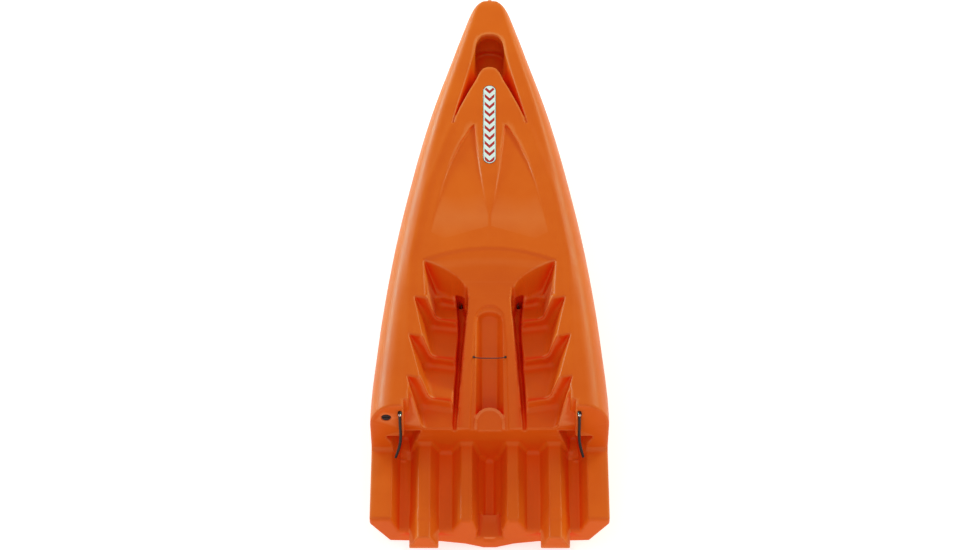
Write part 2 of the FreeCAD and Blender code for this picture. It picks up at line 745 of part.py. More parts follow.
DECAL_HALF_WIDTH = 21
DECAL_ENDS = (312, 590)


def bow_decal(deck):
    """Thin film that follows the foredeck: a long strip with round ends."""
    half_width = DECAL_HALF_WIDTH
    aft, fore = DECAL_ENDS
    strip = prism([(-half_width, aft), (half_width, aft), (half_width, fore), (-half_width, fore)], 300, 500)
    for y in DECAL_ENDS:
        strip = strip.fuse(Part.makeCylinder(half_width, 200, V(0, y, 300)))
    lifted = deck.copy()
    lifted.translate(V(0, 0, size("decal_film")))
    return part_from_shape("bow_decal", strip.common(lifted).cut(deck).removeSplitter())


# --------------------------------------------------------------------- build

def build():
    parts = [part_from_shape("hull_shell", hull_shape()), bow_decal(hull_loft(0))]
    parts += drain_fittings()
    for side in ("left", "right"):
        parts += anchor_fittings(side)
        parts.append(stud(side))
        parts.append(cord("coupling_cord_" + side, [neck_end(side)] + COUPLING_ROUTES[side],
                          size("cord_diameter")))
    parts.append(cord("bottle_bungee", bungee_route(), size("bungee_diameter")))
    return parts


def check(parts):
    doc.recompute()
    for item in doc.Objects:
        if "Invalid" in item.State or "Error" in item.State:
            raise RuntimeError("%s failed: %s" % (item.Label, item.State))
    for piece in parts:
        if piece.Shape.isNull() or not piece.Shape.isValid():
            raise RuntimeError(piece.Label + " has no valid shape")
        if piece.Shape.Volume <= 0:
            raise RuntimeError(piece.Label + " has no volume")


parts = build()
check(parts)
os.makedirs("parts", exist_ok=True)
for piece in parts:
    piece.Shape.exportStep("parts/%s.step" % piece.Label)
    print(piece.Label, len(piece.Shape.Solids), round(piece.Shape.Volume / 1000, 3), "ml")
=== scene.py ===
"""Looks of the kayak bow section: the moulded hull as one smooth skin, its fittings and cords."""
import math

import bpy
import numpy as np
import openvdb
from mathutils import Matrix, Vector


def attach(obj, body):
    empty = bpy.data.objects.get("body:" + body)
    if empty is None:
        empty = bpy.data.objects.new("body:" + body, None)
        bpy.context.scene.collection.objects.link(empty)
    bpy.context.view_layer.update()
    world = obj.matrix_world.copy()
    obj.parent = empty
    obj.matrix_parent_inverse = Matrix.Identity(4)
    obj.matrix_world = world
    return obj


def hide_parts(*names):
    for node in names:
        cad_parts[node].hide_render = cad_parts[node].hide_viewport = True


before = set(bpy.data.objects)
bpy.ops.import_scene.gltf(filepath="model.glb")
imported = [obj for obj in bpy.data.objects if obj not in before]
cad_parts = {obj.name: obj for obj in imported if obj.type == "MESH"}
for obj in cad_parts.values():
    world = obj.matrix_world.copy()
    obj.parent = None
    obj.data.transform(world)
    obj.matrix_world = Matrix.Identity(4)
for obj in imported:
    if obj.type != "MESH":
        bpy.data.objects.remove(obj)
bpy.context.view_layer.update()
MM = 0.001


# =====================================================================
# Hull: a distance field in millimetres, carved like the mould, then skinned
# =====================================================================

# Millimetres: x to starboard, y to the bow, z up. Only the starboard half is carved, then mirrored.
CELL = 3.0
HALF_LENGTH = 998.5
HALF_BEAM = 382.0
BOW_CUT = 1005
END_WALL_Y = -634.0
TONGUE_Z = 140.0
SILL_Z = 208.0
DIP_Y = -50.0
FACE_FOOT_Y = -667.0
FACE_SLOPE = 33.0 / 210.0
BEYOND_WALL = -760.0  # y that the cockpit's voids run out to
FAR = 900.0  # past the hull on any axis
SKIN_FACES = 190000  # most triangles in the hull's mesh

xs = (np.arange(int(396 / CELL)) + 0.5) * CELL
ys = np.arange(-1012.0, 1012.0, CELL)
zs = np.arange(-14.0, 408.0, CELL)
X = xs[:, None, None].astype(np.float32)
Y = ys[None, :, None].astype(np.float32)
Z = zs[None, None, :].astype(np.float32)
PLAN_X = xs[:, None].astype(np.float32)
PLAN_Y = ys[None, :].astype(np.float32)


def smooth_curve(values, knots, heights):
    """Monotone cubic through a few knots, for outlines and sheer lines."""
    knots = np.asarray(knots, float)
    heights = np.asarray(heights, float)
    gaps = np.diff(knots)
    slopes = np.diff(heights) / gaps
    inner = np.where(slopes[:-1] * slopes[1:] > 0,
                     2 * slopes[:-1] * slopes[1:] / np.where(slopes[:-1] + slopes[1:] == 0, 1,
                                                             slopes[:-1] + slopes[1:]), 0)
    tangents = np.concatenate([[slopes[0]], inner, [slopes[-1]]])
    at = np.clip(values, knots[0], knots[-1])
    index = np.clip(np.searchsorted(knots, at, side="right") - 1, 0, len(gaps) - 1)
    gap = gaps[index]
    t = (at - knots[index]) / gap
    return (heights[index] * (1 + 2 * t) * (1 - t) ** 2 + gap * tangents[index] * t * (1 - t) ** 2
            + heights[index + 1] * t * t * (3 - 2 * t) + gap * tangents[index + 1] * t * t * (t - 1))


def join_max(a, b, radius):
    """Intersection of two fields with a round edge."""
    return (np.minimum(-radius, np.maximum(a, b))
            + np.sqrt(np.maximum(a + radius, 0) ** 2 + np.maximum(b + radius, 0) ** 2))


def join_min(a, b, radius):
    """Union of two fields with a round inner corner."""
    return -join_max(-a, -b, radius)


def polygon_field(across, along, points):
    """Signed distance to a closed polygon in a plane, negative inside."""
    best = np.full(np.broadcast(across, along).shape, 1e12, np.float32)
    inside = np.zeros(best.shape, bool)
    for (ax, ay), (bx, by) in zip(points, points[1:] + points[:1]):
        ex, ey = bx - ax, by - ay
        wx, wy = across - ax, along - ay
        t = np.clip((wx * ex + wy * ey) / (ex * ex + ey * ey + 1e-9), 0, 1)
        best = np.minimum(best, (wx - ex * t) ** 2 + (wy - ey * t) ** 2)
        if ay != by:
            crosses = (ay > along) != (by > along)
            inside ^= crosses & (across < ex * (along - ay) / ey + ax)
    return np.where(inside, -1, 1) * np.sqrt(best)


SHARPEST_MITRE = 0.35


def shrunk(points, amount):
    """The polygon with every side moved inward by this amount."""
    area = sum(ax * by - bx * ay for (ax, ay), (bx, by) in zip(points, points[1:] + points[:1]))
    turn = 1 if area > 0 else -1
    result = []
    count = len(points)
    for i in range(count):
        (px, py), (qx, qy), (rx, ry) = points[i - 1], points[i], points[(i + 1) % count]
        back = math.hypot(qx - px, qy - py)
        ahead = math.hypot(rx - qx, ry - qy)
        n1 = (-(qy - py) / back * turn, (qx - px) / back * turn)
        n2 = (-(ry - qy) / ahead * turn, (rx - qx) / ahead * turn)
        scale = amount / max(1 + n1[0] * n2[0] + n1[1] * n2[1], SHARPEST_MITRE)
        result.append((qx + (n1[0] + n2[0]) * scale, qy + (n1[1] + n2[1]) * scale))
    return result


def plan_field(points, corner=0.0):
    """Plan outline's distance on the grid, with its corners rounded."""
    return polygon_field(PLAN_X, PLAN_Y, shrunk(points, corner) if corner else points) - corner


# ----------------------------------------------------------- hull lines

def half_beam(y):
    knots = [-1010, -634, -338, -32, 285, 526, 769, 893, 950, 985, HALF_LENGTH]
    share = [1.0, 0.995, 0.935, 0.832, 0.678, 0.531, 0.335, 0.225, 0.166, 0.098, 0.0]
    return HALF_BEAM * smooth_curve(y, knots, share)


def keel_height(y):
    knots = [-1010, 250, 500, 700, 820, 900, 950, 985, HALF_LENGTH]
    heights = [0, 0, 6, 38, 92, 158, 222, 290, 340]
    return smooth_curve(y, knots, heights)


def crown_height(y):
    knots = [-1010, -634, -200, 300, 700, 860, 950, 985, HALF_LENGTH]
    heights = [350, 350, 361, 373, 384, 386, 384, 376, 350]
    return smooth_curve(y, knots, heights)


def hull_field():
    """Distance to the hull's skin, from a cross-section that changes along the length."""
    y = ys
    edge = 9.0
    half = np.maximum(half_beam(y) - edge, 1.0)
    keel = keel_height(y) + edge
    crown = np.maximum(crown_height(y) - edge, keel + 1)
    depth = crown - keel
    bow = np.clip((y + 200) / 1200, 0, 1) ** 2
    crown_share = 0.80 - 0.20 * bow
    gunwale_z = keel + 0.737 * depth
    chain = [(0 * y, keel), (0.05 * half, keel), (0.20 * half, keel + 0.052 * depth),
             (0.41 * half, keel + 0.088 * depth), (half * (0.84 - 0.30 * bow), keel + 0.104 * depth),
             (half * (0.995 - 0.10 * bow), keel + 0.323 * depth)]
    for angle in np.linspace(0, 90, 15):
        turn = math.radians(angle)
        chain.append((half * (crown_share + (1 - crown_share) * math.cos(turn)),
                      gunwale_z + (crown - gunwale_z) * math.sin(turn)))
    camber = 0.020 * half
    for share in (0.8, 0.6, 0.4, 0.2, 0.0):
        chain.append((half * crown_share * share, crown + camber * (1 - share * share)))
    best = np.full((len(xs), len(ys), len(zs)), 1e12, np.float32)
    inside = np.zeros(best.shape, bool)
    for (ax, az), (bx, bz) in zip(chain, chain[1:]):
        ax, az, bx, bz = (v[None, :, None].astype(np.float32) for v in (ax, az, bx, bz))
        ex, ez = bx - ax, bz - az
        t = np.clip(((X - ax) * ex + (Z - az) * ez) / (ex * ex + ez * ez + 1e-6), 0, 1)
        best = np.minimum(best, (X - ax - ex * t) ** 2 + (Z - az - ez * t) ** 2)
        rise = np.where(np.abs(ez) < 1e-4, 1e-4, ez)
        inside ^= ((az > Z) != (bz > Z)) & (X < ex * (Z - az) / rise + ax)
    field = np.where(inside, -1, 1) * np.sqrt(best) - edge
    return np.maximum(field, np.abs(Y) - BOW_CUT).astype(np.float32)


field = hull_field()


def block(low, high, axes=(xs, ys, zs)):
    """Index ranges of the part of the grid between two corners."""
    ranges = []
    for values, a, b in zip(axes, low, high):
        ranges.append(slice(int(np.searchsorted(values, a)), int(np.searchsorted(values, b))))
    return tuple(ranges)


def carve(low, high, void, edge):
    """Takes a void, given as a function of the block, out of the hull with a round edge."""
    part = block(low, high)
    recess_shade = void(part, X[part[0]], Y[:, part[1]], Z[:, :, part[2]])
    field[part] = join_max(field[part], -recess_shade, edge)


def add(low, high, solid, edge):
    """Joins a solid, given as a function of the block, to the hull with a round inner corner."""
    part = block(low, high)
    body = solid(part, X[part[0]], Y[:, part[1]], Z[:, :, part[2]])
    field[part] = join_min(field[part], body, edge)


# ------------------------------------------------------------- cockpit

CONSOLE_TOP_Z = 371
CONSOLE_DROP_POWER = 1.12
DIP_RADIUS = 541
DIP_HALF_CHORD = 209


def console_z(y):
    """Height of the console's top, which falls from the dip in the deck to the end wall."""
    share = np.clip((DIP_Y - y) / (DIP_Y - END_WALL_Y), -0.05, 1.2)
    drop = (CONSOLE_TOP_Z - SILL_Z) * np.sign(share) * np.abs(share) ** CONSOLE_DROP_POWER
    return CONSOLE_TOP_Z - drop


CONSOLE_X = {"y": [-700, -635, -371, -247, -206, -150], "x": [107, 104, 83, 72, 70, 76]}


def console_line(y):
    """Half width of the console where its side meets the treads."""
    return np.interp(y, CONSOLE_X["y"], CONSOLE_X["x"])


def console_x(y):
    return float(console_line(y))


def carve_console():
    """The deck dips along an arc and runs down aft as the console's top."""
    outline = [(-30, DIP_Y + 1)]
    for step in range(1, 9):
        angle = math.asin(DIP_HALF_CHORD / DIP_RADIUS) * step / 8
        outline.append((DIP_RADIUS * math.sin(angle), DIP_Y - DIP_RADIUS + DIP_RADIUS * math.cos(angle)))
    outline += [(203, -215), (112, -215), (112, BEYOND_WALL), (-30, BEYOND_WALL)]
    flat = plan_field(outline)

    def void(part, x, y, z):
        surface = console_z(PLAN_Y[:, part[1]])[:, :, None]
        return join_max(flat[part[0], part[1]][:, :, None], (surface - z) * 0.96, 3.0)
    carve((0, -790, 150), (240, -10, FAR), void, 14.0)


# Foot braces, bow to aft: front y at the inner and outer end, outer x at the front and at the aft
# end at deck height, tread height at its front and at its aft lip, lean of the outer wall.
BRACES = [((-172, -137), 204, 194, 222, 256, 0.24), ((-254, -232), 237, 209, 218, 253, 0.24),
          ((-400, -376), 252, 215, 214, 250, 0.24), ((-555, -531), 257, 236, 210, 208, 0.16)]
DECK_REFERENCE = 350.0
BRACE_INNER_X = 95.0
BRACE_WIDTH = 130.0


def front_line(ends, x):
    """The braces' front walls run aft a little towards the console."""
    share = (x - BRACE_INNER_X) / BRACE_WIDTH
    return ends[0] + (ends[1] - ends[0]) * share


def carve_toe_recess():
    """Deep recess ahead of the first brace, with a curved front wall that leans forward."""
    outline = [(213, -90), (190, -98), (165, -109), (140, -121), (119, -133), (104, -144), (91, -157),
               (81, -173), (75, -192), (73, -215), (73, -262), (213, -262)]
    flat = plan_field(outline, 5)

    def void(part, x, y, z):
        lean = np.interp(x, [74, 125], [0.03, 0.33])
        front = flat[part[0], part[1]][:, :, None] + (352 - z) * lean
        outer = (x - np.interp(y, [-232, -92], [195, 211]) + (DECK_REFERENCE - z) * 0.24) * 0.965
        walls = join_max(front, outer, np.interp(z, [262, 350], [24, 3]))
        return join_max(walls, 262 - z, 9.0)
    carve((50, -262, 200), (240, -60, FAR), void, 4.0)


def carve_brace(index):
    """One foot brace: a leaning front wall, a side wall and a tread that rises aft to its lip."""
    ends, outer_front, outer_aft, floor_front, floor_aft, lean = BRACES[index]
    last = index == len(BRACES) - 1
    aft_ends = (BEYOND_WALL, BEYOND_WALL) if last else BRACES[index + 1][0]
    lip = END_WALL_Y if last else sum(aft_ends) / 2
    front = sum(ends) / 2

    def void(part, x, y, z):
        ahead = (y - front_line(ends, x)) * 0.985 + (DECK_REFERENCE - z) * 0.09
        edge_x = outer_front + (outer_aft - outer_front) * np.clip((front - y) / (front - lip), -0.3, 1.4)
        outer = (x - edge_x + (DECK_REFERENCE - z) * lean) / math.hypot(1, lean)
        corner = np.interp(z, [225, 300, 350], [34, 22, 4])
        walls = join_max(ahead, outer, corner)
        inner = console_line(y) - x
        walls = np.maximum(walls, inner)
        share = np.clip((front - y) / (front - lip), 0, 1)
        tread = floor_front + (floor_aft - floor_front) * share ** 1.25
        body = join_max(walls, tread - z, 17.0)
        return np.maximum(body, front_line(aft_ends, x) - 6 - y)
    carve((50, min(aft_ends) - 30, 170), (300, max(ends) + 60, FAR), void, 6.0)


def carve_channel():
    """Drain channel beside the console, with the scupper at its covered front end."""
    outline = [(80, -166), (88, -152), (104, -143), (115, -152), (114, -186), (109, -240), (110, -320),
               (119, -475), (126, -600), (127, BEYOND_WALL)]
    outline += [(console_x(y) - 1, y) for y in (BEYOND_WALL, -371, -206)] + [(75, -188)]
    flat = plan_field(outline, 6)

    def void(part, x, y, z):
        walls = flat[part[0], part[1]][:, :, None] + (330 - z) * 0.07
        floor = 197 + (y + 150) * 0.004
        body = join_max(walls, floor - z, 8.0)
        cover = np.interp(y, [-222, -200, -140], [420, 288, 258])
        return join_max(body, z - cover, 6.0)
    carve((50, -790, 150), (170, -110, FAR), void, 6.0)


def carve_ledge():
    """The corner beside the last brace drops to the end wall."""
    outline = [(206, -552), (257, -545), (258, -610), (273, -613), (273, BEYOND_WALL), (206, BEYOND_WALL)]
    flat = plan_field(outline, 3)

    def void(part, x, y, z):
        walls = flat[part[0], part[1]][:, :, None] + (350 - z) * 0.02
        height = np.interp(y, [-700, -648, -634, -590, -578, -540], [200, 219, 236, 325, 340, 356])
        return join_max(walls, (height - z) * 0.55, 5.0)
    carve((190, -790, 180), (300, -530, FAR), void, 5.0)


SCUPPER = (93, -159)
SCUPPER_RADIUS = 9.0


def carve_scupper():
    """Drain hole through the channel's front end."""
    def void(part, x, y, z):
        return np.sqrt((x - SCUPPER[0]) ** 2 + (y - SCUPPER[1]) ** 2) - SCUPPER_RADIUS + 0 * z
    carve((70, -182, -20), (116, -136, 216), void, 2.5)


TROUGH_FRONT = -256.0
ARCH_Y = -613.0
ARCH_R = 49.0


def trough_depth(y):
    """The trough's bed lies deeper below the console's top towards the stern."""
    return np.interp(y, [-600, -450, -310, -252], [66, 54, 37, 28])


def carve_trough():
    """Bottle trough with a rounded front and flat bed; its aft end follows the arched pad."""
    outline = [(-30, TROUGH_FRONT)]
    for step in range(1, 9):
        angle = math.pi / 2 * step / 8
        outline.append((46 * math.sin(angle), TROUGH_FRONT - 36 + 36 * math.cos(angle)))
    outline += [(49, -420), (50, -595), (-30, -595)]
    flat = plan_field(outline)
    disc = np.sqrt(PLAN_X ** 2 + (PLAN_Y - ARCH_Y) ** 2) - ARCH_R
    flat = np.maximum(flat, -disc)

    def void(part, x, y, z):
        bed = (console_z(PLAN_Y) - trough_depth(PLAN_Y))[:, part[1], None]
        below = console_z(y) - z
        slope = 23 / trough_depth(y)
        side = (x - 48 + below * slope) / np.sqrt(1 + slope ** 2)
        nose = flat[part[0], part[1]][:, :, None] + below * 0.10
        return join_max(join_max(side, nose, 6.0), bed - z, 4.0)
    carve((0, -640, 100), (80, -230, FAR), void, 3.5)


def carve_rim():
    """Shallow step that frames the trough and the arched pad."""
    outline = [(-30, -238)]
    for step in range(1, 9):
        angle = math.pi / 2 * step / 8
        outline.append((47 * math.sin(angle), -284 + 46 * math.cos(angle)))
    outline += [(54, -360), (61, -621), (62, BEYOND_WALL), (-30, BEYOND_WALL)]
    flat = plan_field(outline)
    disc = np.sqrt(PLAN_X ** 2 + (PLAN_Y - ARCH_Y) ** 2) - ARCH_R
    pad = np.maximum(disc, -(PLAN_Y - ARCH_Y) - FAR)
    pad = np.where(PLAN_Y < ARCH_Y, np.abs(PLAN_X) - ARCH_R, pad)
    flat = np.maximum(flat, -pad)

    def void(part, x, y, z):
        step = console_z(PLAN_Y[:, part[1]])[:, :, None] - 4.5
        return join_max(flat[part[0], part[1]][:, :, None], (step - z) * 0.96, 2.0)
    carve((0, -790, 120), (90, -220, FAR), void, 2.5)


def carve_arch():
    """Shallow arched recess in the pad, open towards the end wall."""
    disc = np.sqrt(PLAN_X ** 2 + np.maximum(PLAN_Y + 606, 0) ** 2) - 39

    def void(part, x, y, z):
        floor = console_z(y) - 6 - np.maximum(-600 - y, 0) * 0.10
        return join_max(disc[part[0], part[1]][:, :, None], floor - z, 3.0)
    carve((0, -790, 120), (60, -550, FAR), void, 2.5)


# -------------------------------------------------------------- foredeck

def carve_bow_pocket():
    """Grab pocket round the foredeck's pointed tongue, with an arm down each side."""
    rim = [(-30, 829), (14, 828), (30, 821), (41, 806), (47, 785), (51, 758), (66, 700), (90, 610),
           (119, 502), (130, 455), (60, 440), (-30, 560)]
    tongue = [(-30, 692), (8, 691), (22, 685), (34, 668), (46, 638), (69, 592), (96, 533), (117, 480),
              (122, 440), (-30, 440)]
    outer_wall = plan_field(rim)
    tongue_wall = -plan_field(tongue, 2)

    def void(part, x, y, z):
        depth = 386 - z
        lean = np.interp(y, [480, 690, 800], [0.40, 0.34, -0.12])
        outer = (outer_wall[part[0], part[1]][:, :, None] + depth * lean) * 0.93
        inner = tongue_wall[part[0], part[1]][:, :, None] + depth * 0.05
        floor = np.interp(y, [450, 480, 560, 700, 730], [376, 362, 335, 268, 262]) - z
        return join_max(join_max(outer, floor, 10.0), inner, 4.0)
    carve((0, 430, 200), (150, 870, FAR), void, 4.0)


def carve_nose_hollow():
    """The pocket reaches forward under the nose."""
    def void(part, x, y, z):
        reach = np.sqrt((x / 47) ** 2 + ((y - 800) / 56) ** 2 + ((z - 316) / 50) ** 2)
        return (reach - 1) * 47
    carve((0, 730, 240), (70, 880, 372), void, 5.0)


def deck_top():
    """The deck's own height over the plan, from which the shallow relief is measured."""
    index = len(zs) - 1 - np.argmax((field[:, :, ::-1] < 0), axis=2)
    index = np.clip(index, 0, len(zs) - 2)
    below = np.take_along_axis(field, index[:, :, None], 2)[:, :, 0]
    above = np.take_along_axis(field, index[:, :, None] + 1, 2)[:, :, 0]
    height = zs[index] + CELL * np.clip(below / np.minimum(below - above, -1e-3), 0, 1)
    return np.where((field < 0).any(axis=2), height, 0).astype(np.float32)


def carve_fangs(top_height):
    """Two shallow panels that leave a raised wedge between them and fade out aft."""
    outline = [(52, 452), (66, 436), (100, 372), (128, 300), (152, 220), (172, 130), (196, 20),
               (150, -10), (2, 40), (2, 84), (14, 140), (32, 270), (46, 400)]
    flat = plan_field(outline, 2)

    def void(part, x, y, z):
        top = top_height[part[0], part[1]][:, :, None]
        depth = np.interp(PLAN_Y[:, part[1]], [-20, 360, 450], [-2.5, 7.5, 7.5])[:, :, None]
        return join_max(flat[part[0], part[1]][:, :, None] * 0.8, top - depth - z, 3.0)
    carve((0, -20, 300), (220, 480, FAR), void, 2.5)


def raise_deck_fold():
    """Soft fold in the deck that runs aft from the pocket's tips, inboard of the gunwale."""
    line_x = np.interp(PLAN_Y, [-634, -408, -72, 204, 478], [272, 266, 255, 206, 120])
    fade = np.interp(PLAN_Y, [-634, -300, 430, 520], [0, 1, 1, 0])
    fold = 3.0 * np.exp(-((PLAN_X - line_x) / 15.0) ** 2) * fade
    share = np.clip((Z - 300) / 30, 0, 1)
    field[:] = field - fold[:, :, None] * share


# ------------------------------------------------------- coupling tongue

RIB_TOP = 134
GROOVE_FLOOR = 86
CENTRE_FLOOR = 40
SHOULDER_X = 273
RIB_X = 208
RIB_HALF_TOP = 19
RIB_HALF_FOOT = 49
RIB_UNDERSIDE = 78
RIB_END_Y = -998
KEY_START_Y = -858
KEY_FLOOR = 51
END_FACE_Y = -955
END_FACE_SLOPE = 0.207


def tongue_outline():
    """Half of the tongue's top in section: ribs and grooves, then the cheek."""
    return [(0, CENTRE_FLOOR), (13, CENTRE_FLOOR), (35, 68), (56, RIB_TOP), (91, RIB_TOP),
            (119, GROOVE_FLOOR), (162, GROOVE_FLOOR), (189, RIB_TOP), (227, RIB_TOP),
            (253, GROOVE_FLOOR), (287, GROOVE_FLOOR), (311, TONGUE_Z), (470, TONGUE_Z)]


def rounded_profile(points, reach):
    """Profile height over x with its corners eased, on the grid's x values."""
    fine = np.arange(-20.0, 470.0, 0.5)
    height = np.interp(np.abs(fine), [p[0] for p in points], [p[1] for p in points])
    kernel = np.hanning(int(2 * reach / 0.5) + 1)
    kernel = kernel / kernel.sum()
    padded = np.pad(height, len(kernel) // 2, mode="edge")
    smooth = np.convolve(padded, kernel, mode="valid")
    return fine, smooth


def carve_tongue():
    """Everything above the tongue's section, back to the end wall and to the leaning shoulder faces."""
    fine, smooth = rounded_profile(tongue_outline(), 4.0)
    outline = [(float(a), float(b)) for a, b in zip(fine[::4], smooth[::4])]
    outline = outline + [(470, FAR), (-20, FAR)]
    section = polygon_field(xs[:, None].astype(np.float32), zs[None, :].astype(np.float32), outline)

    def void(part, x, y, z):
        above = section[part[0], part[2]][:, None, :]
        wall = np.maximum(x - SHOULDER_X, (y - END_WALL_Y) + np.maximum(SILL_Z - z, 0) * 0.10)
        shoulder = (y - FACE_FOOT_Y - (z - TONGUE_Z) * FACE_SLOPE) * 0.988
        return join_max(above, join_min(wall, shoulder, 5.0), 14.0)
    carve((0, -1020, 0), (FAR, -590, FAR), void, 6.0)


def carve_socket():
    """The outer groove goes on under the shoulder, with a flared mouth."""
    outline = [(253, GROOVE_FLOOR), (287, GROOVE_FLOOR), (308, 138), (314, 165), (330, 190),
               (330, 203), (214, 203), (217, 188),
               (229, 152), (237, 132)]
    section = polygon_field(xs[:, None].astype(np.float32), zs[None, :].astype(np.float32),
                            shrunk(outline, 4)) - 4

    def void(part, x, y, z):
        depth = np.interp(y, [-668, -640, -600], [0, 5, 9])
        return join_max(section[part[0], part[2]][:, None, :] + depth, y + 598, 14.0)
    carve((190, -676, 40), (350, -570, 260), void, 4.0)


def carve_key_slot():
    """Wider, level end of the centre groove."""
    def void(part, x, y, z):
        slot = join_max(np.abs(x) - 34 - np.clip((-y - 915) * 0.3, 0, 9), KEY_FLOOR - z, 3.0)
        return join_max(slot, y - KEY_START_Y, 3.0)
    carve((0, -1020, 20), (70, -820, FAR), void, 3.0)

    def bed(part, x, y, z):
        box = np.maximum(np.maximum(np.abs(x) - 40, z - KEY_FLOOR), 25 - z)
        return np.maximum(box, np.maximum(y - KEY_START_Y, END_FACE_Y + 3 + z * END_FACE_SLOPE - y))
    add((0, -1020, 10), (60, -840, 60), bed, 1.5)


def trim_end():
    """Cuts the coupling tongue's end face, which leans with height."""
    def void(part, x, y, z):
        return (y - END_FACE_Y - z * END_FACE_SLOPE) * 0.979
    carve((0, -1020, -20), (FAR, -860, FAR), void, 11.0)


def add_rib_ends():
    """Outer ribs stand out past the end face as tenons on a broader foot."""
    def solid(part, x, y, z):
        spread = (RIB_TOP - z) * (RIB_HALF_FOOT - RIB_HALF_TOP) / (RIB_TOP - RIB_UNDERSIDE)
        side = (np.abs(x - RIB_X) - RIB_HALF_TOP - spread) * 0.93
        body = join_max(side, z - RIB_TOP, 5.0)
        body = join_max(body, RIB_UNDERSIDE - z, 5.0)
        end = (RIB_END_Y - y) + (z - RIB_UNDERSIDE) * 0.18
        return join_max(join_max(body, end, 5.0), y + 880, 8.0)
    add((150, -1012, 60), (270, -860, 150), solid, 5.0)


DRAIN_X = -328.0
DRAIN_Z = 291.0
DRAIN_RADIUS = 15.2
DRAIN_DEPTH = 9.6
DRAIN_BOX = ((-356, -670, 261), (-300, -610, 321))


def drain_recess(x, y, z):
    """Counterbore of the drain plug, square to the leaning shoulder face."""
    tilt = math.atan(FACE_SLOPE)
    centre_y = FACE_FOOT_Y + (DRAIN_Z - TONGUE_Z) * FACE_SLOPE
    along = -(y - centre_y) * math.cos(tilt) + (z - DRAIN_Z) * math.sin(tilt)
    up = (y - centre_y) * math.sin(tilt) + (z - DRAIN_Z) * math.cos(tilt)
    round_part = np.sqrt((x - DRAIN_X) ** 2 + up ** 2) - DRAIN_RADIUS
    return join_max(round_part, -DRAIN_DEPTH - along, 1.5)


raise_deck_fold()
carve_console()
carve_toe_recess()
for number in range(len(BRACES)):
    carve_brace(number)
carve_channel()
carve_ledge()
carve_trough()
carve_rim()
carve_arch()
carve_tongue()
carve_socket()
carve_key_slot()
trim_end()
add_rib_ends()
carve_bow_pocket()
carve_nose_hollow()
carve_scupper()

carve_fangs(deck_top())


# ------------------------------------------------------------------ skin

def skin():
    """Mirrors the field, cuts the drain's counterbore and turns its zero surface into a mesh."""
    whole = np.concatenate([field[::-1], field], axis=0).astype(np.float32)
    across = np.concatenate([-xs[::-1], xs])
    part = block(*DRAIN_BOX, (across, ys, zs))
    recess = drain_recess(across[part[0], None, None], Y[:, part[1]], Z[:, :, part[2]])
    whole[part] = join_max(whole[part], -recess, 1.8)
    grid = openvdb.FloatGrid()
    grid.copyFromArray(whole / CELL)
    points, triangles, quads = grid.convertToPolygons(isovalue=0.0, adaptivity=0.0)
    low = np.array([-xs[-1], ys[0], zs[0]])
    return whole, low, points, triangles, quads


def sample(whole, low, points):
    """The field at any points, by trilinear interpolation."""
    at = (points - low) / CELL
    base = np.clip(np.floor(at).astype(int), 0, np.array(whole.shape) - 2)
    t = at - base
    total = np.zeros(len(points))
    for dx in (0, 1):
        for dy in (0, 1):
            for dz in (0, 1):
                weight = (np.abs(1 - dx - t[:, 0]) * np.abs(1 - dy - t[:, 1]) * np.abs(1 - dz - t[:, 2]))
                total += weight * whole[base[:, 0] + dx, base[:, 1] + dy, base[:, 2] + dz]
    return total


def gradient(whole, low, points, reach):
    """Unit normals of the field at any points."""
    parts = []
    for axis in range(3):
        step = np.zeros(3)
        step[axis] = reach
        parts.append(sample(whole, low, points + step) - sample(whole, low, points - step))
    normals = np.stack(parts, axis=1)
    return normals / np.maximum(np.linalg.norm(normals, axis=1, keepdims=True), 1e-9)


WHOLE, WHOLE_LOW, SKIN_POINTS, SKIN_TRIANGLES, SKIN_QUADS = skin()


def recess_shade_share(points, normals):
    """How enclosed each point of the skin is, from 0 in the open to 1 deep in a recess: the mask for the
    painted shade in recesses.
    """
    total = np.zeros(len(points))
    for reach, weight in ((10, 0.2), (22, 0.25), (42, 0.3), (75, 0.25)):
        ahead = sample(WHOLE, WHOLE_LOW, points + normals * reach)
        total += weight * np.clip((reach - ahead) / reach, 0, 1.3)
    return np.clip(total, 0, 1)


def edge_highlight_share(points, normals):
    """How sharply the skin bends outward at each point: the mask for the painted highlights on edges."""
    reach = 9.0
    ahead = sample(WHOLE, WHOLE_LOW, points + normals * 3)
    steep = (ahead - sample(WHOLE, WHOLE_LOW, points - normals * 3)) / 6
    behind = sample(WHOLE, WHOLE_LOW, points - normals * reach)
    return np.clip((reach * steep + behind) / reach, 0, 1)


